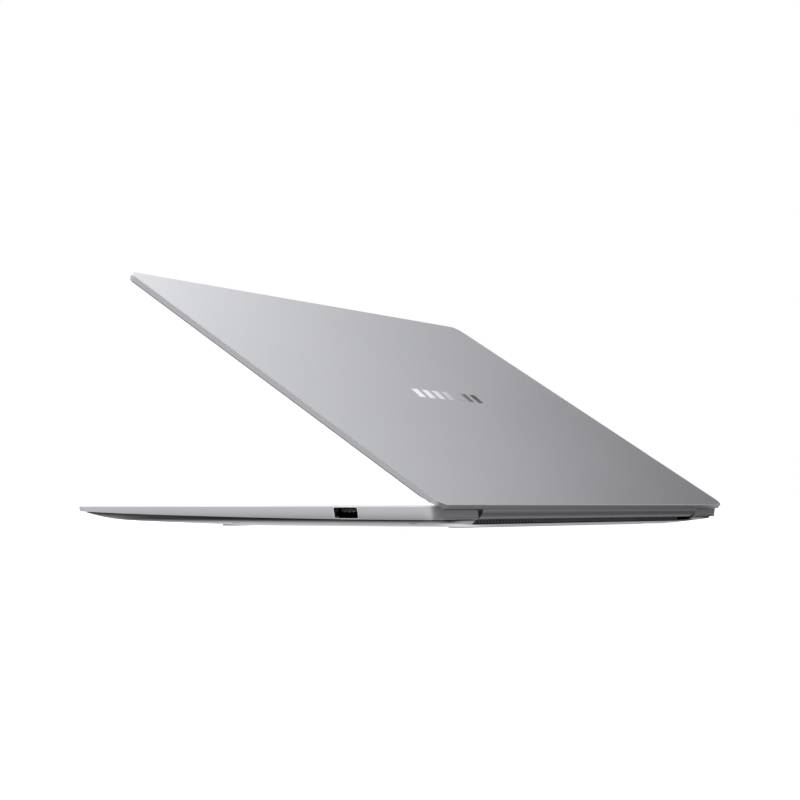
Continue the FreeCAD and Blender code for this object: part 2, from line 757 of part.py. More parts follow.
def lid_back_cover():
    body = lid_prism(0, GASKET_TOP, LID_BACK - LID_CHAMFER)
    edge = Part.makeLoft(
        [lid_wire(0, LID_BACK - LID_CHAMFER), lid_wire(LID_CHAMFER, LID_BACK)], True, True)
    pocket = lid_pocket(LID_WALL, CHIN_Y, GASKET_TOP - 1, LID_POCKET_TOP)
    leaf_room = box(-113.8, 113.8, CHIN_Y - 2, 2.2, GASKET_TOP, LID_POCKET_TOP)
    cover = body.fuse(edge).cut(pocket.fuse(leaf_room))
    for side in (-1, 1):
        x0, x1 = sorted((side * 116.2, side * (HALF_W + 1)))
        cover = cover.cut(box(x0, x1, TAIL_FRONT, LID_REAR + 1, 0, TAIL_FACE))
    seats = [bar.common(lid_prism(0, LID_BACK - BAR_DEPTH, LID_BACK)) for bar in emblem_bars(0.02)]
    return cover.cut(group(seats)).removeSplitter()


def emblem_bars(grow):
    """Equal slanted bars in a row, centred on the lid's back."""
    bars = []
    middle = LID_REAR - LID_LENGTH / 2 - 1.5
    low = middle - BAR_HALF_H - grow
    high = middle + BAR_HALF_H + grow
    half = BAR_HALF_W + grow
    for index in range(BAR_COUNT):
        x = (index - (BAR_COUNT - 1) / 2) * BAR_PITCH
        points = [
            (x - half - BAR_LEAN, low),
            (x + half - BAR_LEAN, low),
            (x + half + BAR_LEAN, high),
            (x - half + BAR_LEAN, high),
        ]
        wire = Part.makePolygon([V(px, py, LID_BACK - BAR_DEPTH) for px, py in points + points[:1]])
        bars.append(Part.Face(wire).extrude(V(0, 0, BAR_DEPTH + BAR_STAND)))
    return bars


def lid_gasket():
    outer = lid_prism(0.35, LID_FACE, GASKET_TOP, CHIN_Y + 2.4)
    return outer.cut(lid_pocket(LID_WALL - 0.1, CHIN_Y + 0.1, 0, 9))


def cover_glass():
    return lid_pocket(LID_WALL + 0.1, CHIN_Y - 0.1, LID_FACE + 0.1, GLASS_BACK)


def display_panel():
    return rounded_block(-146.5, 146.5, -203.2, -17, GLASS_BACK, 5.2, 1.5)


def webcam_module():
    strip = box(-24, 24, -208.8, -204.2, 4.0, 4.6)
    barrel = rod((0, -206.5, 4.5), 2.0, 0.9)
    lamp = box(7, 9, -207.3, -205.7, 4.5, 5.0)
    return strip.fuse([barrel, lamp]).removeSplitter()


def display_controller_board():
    board = box(-95, 95, -15.6, -8, 4.1, 4.6)
    chips = [box(x, x + 9, -14.6, -9.5, 4.6, 5.3) for x in (-70, -30, 22, 60)]
    return board.fuse(chips).removeSplitter()


def display_cable():
    """Flat cable from the display board, folded down into the hinge cover."""
    flat = box(-18, 18, -8.0, 0.9, 4.15, 4.4)
    drop = box(-18, 18, 0.4, 0.9, -0.8, 4.4)
    return flat.fuse(drop).removeSplitter()


def lid_magnets():
    return group([
        box(x, x + 16, -208.6, -204.6, 4.1, 5.3) for x in (-130, -70, 54, 114)
    ])


def antennas():
    return group([box(x, x + 24, -15.5, -8.5, 4.1, 4.5) for x in (-143, 119)])


def hinge_cover_section(x0, x1):
    """Outline of the hinge cover: rear face flush with the lid, round underside on the axis."""
    under = 3.2
    front = V(x0, -2.78, -1.585)
    rear = V(x0, 2.8, -1.549)
    top = GASKET_TOP
    edges = [
        Part.Arc(front, V(x0, 0, -under), rear).toShape(),
        Part.Arc(rear, V(x0, 3.72, 1.2), V(x0, LID_REAR, top)).toShape(),
        Part.makeLine(V(x0, LID_REAR, top), V(x0, -1.8, top)),
        Part.makeLine(V(x0, -1.8, top), V(x0, -1.8, LID_FACE)),
        Part.makeLine(V(x0, -1.8, LID_FACE), V(x0, -2.9, LID_FACE)),
        Part.makeLine(V(x0, -2.9, LID_FACE), front),
    ]
    return Part.Face(Part.Wire(edges)).extrude(V(x1 - x0, 0, 0))


def hinge_cover():
    bar = hinge_cover_section(-117, 117)
    ends = rear_profile([(-116.0, 4), (116.0, 4), (114.4, -3.4), (-114.4, -3.4)], -6, 6)
    bar = bar.common(ends)
    conduit = rod((-99.0, 0, 0), 1.9, 198.0, (1, 0, 0))
    cable_slot = box(-18.2, 18.2, 0.2, 1.1, 0, 5)
    cutters = [conduit, cable_slot]
    for side in (-1, 1):
        x0, x1 = sorted((side * 99.8, side * 113.6))
        cutters.append(rod((x0, 0, 0), KNUCKLE_R + 0.12, x1 - x0, (1, 0, 0)))
        cutters.append(box(x0, x1, -1.75, 1.75, 0, 5))
        start = min(side * 95.0, side * 117.0)
        cutters.append(rod((start, 0, 0), PIN_R + PIN_CLEARANCE, 22.0, (1, 0, 0)))
    return bar.cut(group(cutters)).removeSplitter()


def hinge_leaf(side):
    """Knuckle on the pin, with the tongue that is screwed inside the lid."""
    x0, x1 = sorted((side * 100.0, side * 113.4))
    knuckle = rod((x0, 0, 0), KNUCKLE_R, x1 - x0, (1, 0, 0))
    stem = box(x0, x1, -1.6, 1.6, 0.5, 4.9)
    tongue = box(x0, x1, -15.0, 1.6, 4.1, 4.9)
    bore = rod((x0 - 1, 0, 0), PIN_R + PIN_CLEARANCE, x1 - x0 + 2, (1, 0, 0))
    holes = [rod((side * x, -11, 3), 0.85, 3) for x in (103.5, 109.5)]
    return knuckle.fuse([stem, tongue]).cut(group([bore] + holes)).removeSplitter()


def lid_hinge_screws():
    screws = []
    for side in (-1, 1):
        for x in (103.5, 109.5):
            head = rod((side * x, -11, 3.96), 1.5, 0.14)
            shank = rod((side * x, -11, 4.1), 0.8, 1.3)
            screws.append(head.fuse(shank).removeSplitter())
    return group(screws)


def build_base():
    save("top_case", top_case())
    save("bottom_cover", bottom_cover())
    save("seam_gasket", seam_gasket())
    save("rubber_feet", rubber_feet())
    save("bottom_screws", bottom_screws())
    save("hinge_screws", hinge_screws())
    save("motherboard", motherboard())
    save("memory_chips", memory_chips())
    save("processor", processor())
    save("ssd_module", ssd_module())
    save("wifi_module", wifi_module())
    save("heat_sink_fins", heat_sink_fins())
    save("heat_pipe", heat_pipe())
    save("battery_cells", battery_cells())
    save("battery_cable", battery_cable())
    save("keyboard_plate", keyboard_plate())
    save("keyboard_membrane", keyboard_membrane())
    save("trackpad", trackpad())
    save("trackpad_bracket", trackpad_bracket())
    save("usb_a_shell", usb_a_shell())
    save("usb_a_tongue", usb_a_tongue())
    save("usb_c_ports", usb_c_ports())
    save("audio_jack", audio_jack())
    save("io_boards", io_boards())
    save("io_flex_cable", io_flex_cable())
    save("rear_vent_grille", rear_vent_grille())
    save("fan_housings", group([fan_housing(side) for _, side in SIDES]))
    save("speakers", group([speaker(side) for _, side in SIDES]))
    save("speaker_grilles", group([speaker_grille(side) for _, side in SIDES]))
    for name, side in SIDES:
        save("hinge_bracket_" + name, hinge_bracket(side))
        save("fan_impeller_" + name, fan_impeller(side))
    save_keys()


def build_lid():
    save_lid("lid_back_cover", lid_back_cover())
    save_lid("lid_emblem", group(emblem_bars(0)))
    save_lid("lid_gasket", lid_gasket())
    save_lid("cover_glass", cover_glass())
    save_lid("display_panel", display_panel())
    save_lid("webcam_module", webcam_module())
    save_lid("display_controller_board", display_controller_board())
    save_lid("display_cable", display_cable())
    save_lid("lid_magnets", lid_magnets())
    save_lid("antennas", antennas())
    save_lid("hinge_cover", hinge_cover())
    save_lid("lid_hinge_screws", lid_hinge_screws())
    for name, side in SIDES:
        save_lid("hinge_leaf_" + name, hinge_leaf(side))


os.makedirs("parts", exist_ok=True)
build_base()
build_lid()
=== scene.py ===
"""Looks of the laptop: studio, camera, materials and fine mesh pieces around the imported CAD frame.

Places and lengths are in metres, in the frame of the CAD model, unless a comment says millimetres.
"""
import json
import math
from collections import namedtuple

import bmesh
import bpy
from mathutils import Matrix, Vector


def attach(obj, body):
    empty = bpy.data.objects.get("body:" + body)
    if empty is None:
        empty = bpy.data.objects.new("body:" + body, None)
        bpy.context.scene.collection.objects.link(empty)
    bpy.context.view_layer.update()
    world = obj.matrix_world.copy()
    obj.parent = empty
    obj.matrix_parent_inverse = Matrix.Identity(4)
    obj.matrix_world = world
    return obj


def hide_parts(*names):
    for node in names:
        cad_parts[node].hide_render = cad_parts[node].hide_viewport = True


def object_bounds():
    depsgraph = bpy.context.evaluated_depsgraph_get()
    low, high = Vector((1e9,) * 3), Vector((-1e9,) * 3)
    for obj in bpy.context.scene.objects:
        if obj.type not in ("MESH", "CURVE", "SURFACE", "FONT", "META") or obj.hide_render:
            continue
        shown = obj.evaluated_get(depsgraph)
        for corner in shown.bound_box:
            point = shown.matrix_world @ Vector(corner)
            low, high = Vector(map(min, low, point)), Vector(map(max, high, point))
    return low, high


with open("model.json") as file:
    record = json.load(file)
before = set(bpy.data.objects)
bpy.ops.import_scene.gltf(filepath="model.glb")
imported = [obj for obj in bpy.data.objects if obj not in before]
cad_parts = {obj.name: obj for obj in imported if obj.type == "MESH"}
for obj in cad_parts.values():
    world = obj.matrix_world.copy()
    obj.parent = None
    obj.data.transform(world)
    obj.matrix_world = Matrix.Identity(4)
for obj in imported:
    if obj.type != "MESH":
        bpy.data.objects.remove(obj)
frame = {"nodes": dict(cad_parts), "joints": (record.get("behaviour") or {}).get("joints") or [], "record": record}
cad_low, cad_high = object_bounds()
MM = 0.001
HALF_WIDTH = cad_high[0]

joints = {joint["name"]: joint for joint in frame["joints"]}
HINGE = Vector(joints["lid_hinge"]["pos_m"])
REST_OPEN = math.radians(-joints["lid_hinge"]["range_deg"][0])
LID_TURN = Matrix.Rotation(-REST_OPEN, 4, "X")
LID_FRAME = Matrix.Translation(HINGE) @ LID_TURN
LID_BACK_NORMAL = LID_TURN @ Vector((0, 0, 1))


# Camera

CAMERA_PLACE = Vector((0.7255, 0.47187, 0.0103))
CAMERA_YAW = math.radians(33.85)
CAMERA_PITCH = math.radians(3.744)
CAMERA_LENS_MM = 72.42
CAMERA_SENSOR_MM = 36.0


def make_camera():
    data = bpy.data.cameras.new("camera")
    data.lens = CAMERA_LENS_MM
    data.sensor_width = CAMERA_SENSOR_MM
    data.clip_start = 0.01
    data.clip_end = 100.0
    camera = bpy.data.objects.new("camera", data)
    flat = math.cos(CAMERA_PITCH)
    forward = Vector((
        -math.cos(CAMERA_YAW) * flat,
        -math.sin(CAMERA_YAW) * flat,
        math.sin(CAMERA_PITCH),
    ))
    camera.location = CAMERA_PLACE
    camera.rotation_mode = "QUATERNION"
    camera.rotation_quaternion = forward.to_track_quat("-Z", "Y")
    bpy.context.scene.collection.objects.link(camera)
    bpy.context.scene.camera = camera


# Node trees

class Tree:
    """Short calls for building a node tree. An input is named, or counted from 0 in a string."""

    def __init__(self, tree):
        self.tree = tree

    def add(self, kind, **inputs):
        made = self.tree.nodes.new(kind)
        for name, value in inputs.items():
            self.feed(made, name.replace("_", " "), value)
        return made

    def feed(self, made, name, value):
        socket = made.inputs[int(name)] if name.isdigit() else made.inputs[name]
        if isinstance(value, bpy.types.NodeSocket):
            self.tree.links.new(value, socket)
        else:
            socket.default_value = value

    def feed_all(self, made, first, *values):
        """Feed inputs that follow each other, from the one counted first."""
        for place, value in enumerate(values, first):
            self.feed(made, str(place), value)

    def math(self, operation, first, second=0.0):
        made = self.add("ShaderNodeMath")
        made.operation = operation
        self.feed_all(made, 0, first, second)
        return made.outputs[0]

    def dot(self, vector, direction):
        made = self.add("ShaderNodeVectorMath")
        made.operation = "DOT_PRODUCT"
        self.feed_all(made, 0, vector, direction)
        return made.outputs["Value"]

    def axes(self, vector):
        """The X, Y and Z parts of a vector."""
        parts = self.add("ShaderNodeSeparateXYZ", Vector=vector)
        return [parts.outputs[axis] for axis in "XYZ"]

    def ramp(self, value, low, high, out_low=0.0, out_high=1.0, smooth=True):
        """Go from out_low to out_high while the value goes from low to high."""
        made = self.add("ShaderNodeMapRange", Value=value, From_Min=low, From_Max=high,
                        To_Min=out_low, To_Max=out_high)
        made.interpolation_type = "SMOOTHSTEP" if smooth else "LINEAR"
        return made.outputs["Result"]

    def mix_value(self, factor, first, second):
        made = self.add("ShaderNodeMix")
        self.feed(made, "0", factor)
        self.feed_all(made, 2, first, second)
        return made.outputs[0]

    def mix_colour(self, factor, first, second):
        made = self.add("ShaderNodeMix")
        made.data_type = "RGBA"
        self.feed(made, "0", factor)
        self.feed_all(made, 6, first, second)
        return made.outputs[2]

    def by_ray(self, mirrored, seen):
        """Shader that is one thing in mirrors and on surfaces, and another to the camera."""
        ray = self.add("ShaderNodeLightPath").outputs["Is Camera Ray"]
        made = self.add("ShaderNodeMixShader")
        self.feed_all(made, 0, ray, mirrored, seen)
        return made.outputs[0]


# World: each pair is the stretch over which a light fades, in parts of the ray's unit direction

SOFTBOX_SIDE = (-0.6, -0.2, 1.0)
SOFTBOX_EDGE = 1.0125
SOFTBOX_BLUR = 0.004
SOFTBOX_GLOW = 0.95
OVERHEAD_HEIGHT = (0.57, 0.63)
OVERHEAD_GLOW = 0.74
FILL_ACROSS = (-0.75, -0.65)
FILL_GLOW = 0.10
FRONT_ALONG = (-0.50, -0.40)
FRONT_HEIGHT = (0.10, 0.30)
FRONT_LOW_GLOW = 0.90
BACK_ALONG = (0.42, 0.58)
BACK_GLOW = 0.44
DIM_GLOW = 0.09
STUDIO_COLOUR = (0.965, 0.97, 1.0, 1.0)
WHITE = (1.0, 1.0, 1.0, 1.0)


def make_world():
    """Studio: softboxes above, in front and behind, and a fill that leaves out the far left.

    The camera sees white.
    """
    world = bpy.data.worlds.new("studio")
    world.use_nodes = True
    bpy.context.scene.world = world
    world.node_tree.nodes.clear()
    tree = Tree(world.node_tree)
    direction = tree.add("ShaderNodeTexCoord").outputs["Generated"]
    across, along, height = tree.axes(direction)
    softbox = tree.ramp(tree.dot(direction, SOFTBOX_SIDE),
                        SOFTBOX_EDGE - SOFTBOX_BLUR, SOFTBOX_EDGE + SOFTBOX_BLUR)
    overhead = tree.math("MULTIPLY", softbox, tree.ramp(height, *OVERHEAD_HEIGHT, 0.0, OVERHEAD_GLOW))
    fill = tree.ramp(across, *FILL_ACROSS, 0.0, FILL_GLOW)
    front = tree.math("MULTIPLY",
                      tree.ramp(along, *FRONT_ALONG, 1.0, 0.0),
                      tree.ramp(height, *FRONT_HEIGHT, FRONT_LOW_GLOW, 1.0))
    back = tree.ramp(along, *BACK_ALONG, 0.0, BACK_GLOW)
    strength = tree.math("ADD", tree.math("MULTIPLY", softbox, SOFTBOX_GLOW), DIM_GLOW)
    for more in (overhead, fill, front, back):
        strength = tree.math("ADD", strength, more)
    studio = tree.add("ShaderNodeBackground", Color=STUDIO_COLOUR, Strength=strength)
    white = tree.add("ShaderNodeBackground", Color=WHITE, Strength=1.0)
    tree.add("ShaderNodeOutputWorld", Surface=tree.by_ray(studio.outputs[0], white.outputs[0]))


# Floor: its glow is what the metal mirrors, with painted shadow dark at the machine's foot and behind it, bright
# beside it

FLOOR_REACH = 12.0
FLOOR_DROP = 0.0002
FOOT_REAR_Y = 0.108
FOOT_REACH = 0.016
FOOT_SHADOW_GLOW = (0.15, 1.1)
BEHIND_Y = (0.104, 0.130)
BEHIND_SHADOW_GLOW = (1.0, 0.16)
BEHIND_ACROSS_X = (-0.16, 0.16)
BEHIND_ACROSS_GLOW = (0.70, 1.15)
BEHIND_ACROSS_Y = (0.100, 0.108)
AHEAD_Y = (-0.112, -0.050)
AHEAD_GLOW = (0.85, 0.0)
MIRRORED_COLOUR = (0.98, 0.985, 1.0, 1.0)
TABLE_COLOUR = (0.9, 0.9, 0.9, 1.0)
TABLE_GLOW = 0.8


def floor_glow(tree):
    """Glow of the floor by place, as the metal mirrors it, with painted shadow at the machine's foot and behind
    it.
    """
    place_x, place_y, _ = tree.axes(tree.add("ShaderNodeNewGeometry").outputs["Position"])
    from_side = tree.math("SUBTRACT", tree.math("ABSOLUTE", place_x), HALF_WIDTH)
    from_rear = tree.math("SUBTRACT", place_y, FOOT_REAR_Y)
    from_foot = tree.math("ABSOLUTE", tree.math("MAXIMUM", from_side, from_rear))
    # Painted shadow: the glow drops to its low end at the machine's outline.
    foot = tree.ramp(from_foot, 0.0, FOOT_REACH, *FOOT_SHADOW_GLOW)
    # Painted shadow: the glow drops behind the machine.
    behind = tree.ramp(place_y, *BEHIND_Y, *BEHIND_SHADOW_GLOW)
    across = tree.ramp(place_x, *BEHIND_ACROSS_X, *BEHIND_ACROSS_GLOW, smooth=False)
    across = tree.mix_value(tree.ramp(place_y, *BEHIND_ACROSS_Y), 1.0, across)
    glow = tree.math("MULTIPLY", tree.math("MULTIPLY", foot, behind), across)
    return tree.math("MAXIMUM", glow, tree.ramp(place_y, *AHEAD_Y, *AHEAD_GLOW))


def make_floor():
    """Pale table: white to the camera, with painted shadow dark close to the machine in what the metal mirrors."""
    mesh = bpy.data.meshes.new("floor")
    shape = bmesh.new()
    bmesh.ops.create_grid(shape, x_segments=2, y_segments=2, size=FLOOR_REACH)
    shape.to_mesh(mesh)
    shape.free()
    floor = bpy.data.objects.new("floor", mesh)
    floor.location.z = -FLOOR_DROP
    bpy.context.scene.collection.objects.link(floor)
    material = bpy.data.materials.new("pale_floor")
    material.use_nodes = True
    material.node_tree.nodes.clear()
    tree = Tree(material.node_tree)
    mirrored = tree.add("ShaderNodeEmission", Color=MIRRORED_COLOUR, Strength=floor_glow(tree))
    lit = tree.add("ShaderNodeBsdfDiffuse", Color=TABLE_COLOUR)
    shine = tree.add("ShaderNodeEmission", Color=WHITE, Strength=TABLE_GLOW)
    table = tree.add("ShaderNodeAddShader")
    tree.feed_all(table, 0, lit.outputs[0], shine.outputs[0])
    tree.add("ShaderNodeOutputMaterial", Surface=tree.by_ray(mirrored.outputs[0], table.outputs[0]))
    mesh.materials.append(material)


# Lights: two softboxes of low power, beside what the world gives

LIGHT_POWER = 1.0


def area_light(name, place, target, width, height):
    data = bpy.data.lights.new(name, "AREA")
    data.shape = "RECTANGLE"
    data.size = width
    data.size_y = height
    data.energy = LIGHT_POWER
    light = bpy.data.objects.new(name, data)
    light.location = place
    light.rotation_mode = "QUATERNION"
    light.rotation_quaternion = (Vector(target) - Vector(place)).to_track_quat("-Z", "Y")
    bpy.context.scene.collection.objects.link(light)


def make_lights():
    area_light("front_softbox", place=(-1.3, -1.9, 1.4), target=(0.0, 0.0, 0.05), width=1.6, height=1.2)
    area_light("top_softbox", place=(0.2, -0.4, 2.0), target=(0.0, 0.0, 0.0), width=1.8, height=1.8)


# Materials

NOISE_SPAN = (0.3, 0.7)
NOISE_ROUGHNESS = 0.55
DRIFT_SHARE = 0.6


def principled(name):
    """New material, its node tree and its surface node."""
    material = bpy.data.materials.new(name)
    material.use_nodes = True
    return material, Tree(material.node_tree), material.node_tree.nodes["Principled BSDF"]


def speckle(tree, scale, detail=2.0):
    """Value from 0 to 1 that wanders with position, mostly inside NOISE_SPAN; scale is grains per metre."""
    place = tree.add("ShaderNodeTexCoord").outputs["Object"]
    made = tree.add("ShaderNodeTexNoise", Vector=place, Scale=scale, Detail=detail,
                    Roughness=NOISE_ROUGHNESS)
    return made.outputs["Fac"]


def emboss(tree, base, height, strength, depth):
    """Tiny relief from a speckle."""
    relief = tree.add("ShaderNodeBump", Strength=strength, Distance=depth, Height=height)
    tree.feed(base, "Normal", relief.outputs[0])


def textured(name, colour, metallic, roughness, grain=3000.0, bump=0.05, depth=0.00002,
             mottle=40.0, colour_change=0.06, gloss_change=0.05):
    """Surface with fine grain, slow colour drift and uneven gloss."""
    material, tree, base = principled(name)
    drift = speckle(tree, mottle, detail=3.0)
    fine = speckle(tree, grain)
    darker = tuple(part * (1 - colour_change) for part in colour) + (1.0,)
    lighter = tuple(min(1.0, part * (1 + colour_change)) for part in colour) + (1.0,)
    blend = tree.mix_value(DRIFT_SHARE, fine, drift)
    gloss = tree.ramp(drift, *NOISE_SPAN, roughness - gloss_change, roughness + gloss_change, smooth=False)
    tree.feed(base, "Base Color", tree.mix_colour(blend, darker, lighter))
    tree.feed(base, "Metallic", metallic)
    tree.feed(base, "Roughness", gloss)
    emboss(tree, base, fine, bump, depth)
    return material


FINE_GRAIN = 5200.0
COARSE_GRAIN = 900.0
SLOW_DRIFT = 9.0
BLASTED_TONES = ((0.95, 0.95, 0.98), (1.05, 1.05, 1.08))
BLASTED_ROUGHNESS = (0.28, 0.33)
DRIFT_ROUGHNESS = (-0.01, 0.01)
BLASTED_BUMP = 0.04
BLASTED_DEPTH = 0.00001
# Chamfers: polished cut metal, made near white and little metallic as a painted highlight.
CHAMFER_FACING_FROM = (0.5, 0.6)
CHAMFER_FACING_TO = (0.93, 0.86)
CHAMFER_COLOUR = (0.97, 0.97, 0.98, 1.0)
CHAMFER_METALLIC = 0.3
CHAMFER_ROUGHNESS = 0.24


def make_aluminium(name, up, tone, glint):
    """Bead-blasted anodised metal, with its machined chamfers left bright, partly as polished cut metal and partly
    as a painted highlight.

    up is the flat face's normal in the rest pose. The mask uses object normals, so it turns with the lid.
    tone is the metal's grey, lower on the lid as painted shade; glint is a painted highlight, the glow that stands
    for the studio lights' line on the chamfers.
    """
    material, tree, base = principled(name)
    fine = speckle(tree, FINE_GRAIN)
    coarse = speckle(tree, COARSE_GRAIN)
    drift = speckle(tree, SLOW_DRIFT)
    facing = tree.dot(tree.add("ShaderNodeTexCoord").outputs["Normal"], tuple(up))
    slanted = tree.math("MULTIPLY",
                        tree.ramp(facing, *CHAMFER_FACING_FROM, smooth=False),
                        tree.ramp(facing, *CHAMFER_FACING_TO, smooth=False))
    low, high = (tuple(tone * share for share in shares) + (1.0,) for shares in BLASTED_TONES)
    body = tree.mix_colour(fine, low, high)
    matt = tree.math("ADD",
                     tree.ramp(coarse, *NOISE_SPAN, *BLASTED_ROUGHNESS, smooth=False),
                     tree.ramp(drift, *NOISE_SPAN, *DRIFT_ROUGHNESS, smooth=False))
    tree.feed(base, "Base Color", tree.mix_colour(slanted, body, CHAMFER_COLOUR))
    tree.feed(base, "Roughness", tree.mix_value(slanted, matt, CHAMFER_ROUGHNESS))
    tree.feed(base, "Metallic", tree.mix_value(slanted, 1.0, CHAMFER_METALLIC))
    tree.feed(base, "Emission Color", WHITE)
    # Painted highlight: the chamfers glow by glint.
    tree.feed(base, "Emission Strength", tree.math("MULTIPLY", slanted, glint))
    emboss(tree, base, coarse, BLASTED_BUMP, BLASTED_DEPTH)
    return material


# The seam above the bottom cover lies at SEAM_REAR_Z at the rear and rises with the square of the
# distance from SEAM_REAR_Y. The painted shade under it fades over a reach that grows from the front backwards.
SEAM_REAR_Y = 0.112
SEAM_REAR_Z = 0.0035
SEAM_RISE = 0.072
SHADE_START = 0.0002
SHADE_REACH_Y = (-0.106, -0.050)
SHADE_REACH = (0.0010, 0.0052)
SEAM_PAINTED_SHADE_COLOUR = (0.04, 0.04, 0.045, 1.0)
FLANK_PAINTED_LIGHT_COLOUR = (0.44, 0.44, 0.45, 1.0)
REAR_Y = (0.090, 0.101)
REAR_INBOARD_X = (0.126, 0.140)
REAR_PAINTED_LIGHT_COLOUR = (0.95, 0.95, 0.96, 1.0)
FLAT_Z = (0.0007, 0.0014)
FLAT_COLOUR = (0.5, 0.5, 0.515, 1.0)
GRAIN_COLOUR = (0.2, 0.2, 0.2, 1.0)
GRAIN_SHARE = (0.94, 1.0)
COVER_METALLIC = (0.3, 0.9)
COVER_ROUGHNESS = (0.34, 0.42)


def make_cover_metal():
    """Anodised cover: painted shade dark right under the seam, painted light pale lower down and at the rear,
    plain on the flat.
    """
    material, tree, base = principled("anodised_cover_painted_shading")
    x, y, z = tree.axes(tree.add("ShaderNodeTexCoord").outputs["Object"])
    fine = speckle(tree, FINE_GRAIN)
    coarse = speckle(tree, COARSE_GRAIN)
    ahead = tree.math("SUBTRACT", SEAM_REAR_Y, y)
    rise = tree.math("MULTIPLY", tree.math("MULTIPLY", ahead, ahead), SEAM_RISE)
    below_seam = tree.math("SUBTRACT", tree.math("ADD", rise, SEAM_REAR_Z), z)
    reach = tree.ramp(y, *SHADE_REACH_Y, *SHADE_REACH, smooth=False)
    # Painted shade right under the seam, fading to painted light lower down the side.
    flank = tree.mix_colour(tree.ramp(below_seam, SHADE_START, reach), SEAM_PAINTED_SHADE_COLOUR, FLANK_PAINTED_LIGHT_COLOUR)
    # Painted light: near white at the back, inboard of the sides.
    inboard = tree.ramp(tree.math("ABSOLUTE", x), *REAR_INBOARD_X, 1.0, 0.0)
    rear = tree.math("MULTIPLY", tree.ramp(y, *REAR_Y), inboard)
    flank = tree.mix_colour(rear, flank, REAR_PAINTED_LIGHT_COLOUR)
    flat = tree.ramp(z, *FLAT_Z, 1.0, 0.0)
    tone = tree.mix_colour(flat, flank, FLAT_COLOUR)
    grain = tree.ramp(fine, *NOISE_SPAN, *GRAIN_SHARE, smooth=False)
    tree.feed(base, "Base Color", tree.mix_colour(grain, GRAIN_COLOUR, tone))
    tree.feed(base, "Metallic", tree.mix_value(flat, *COVER_METALLIC))
    tree.feed(base, "Roughness", tree.ramp(coarse, *NOISE_SPAN, *COVER_ROUGHNESS, smooth=False))
    emboss(tree, base, coarse, BLASTED_BUMP, BLASTED_DEPTH)
    return material


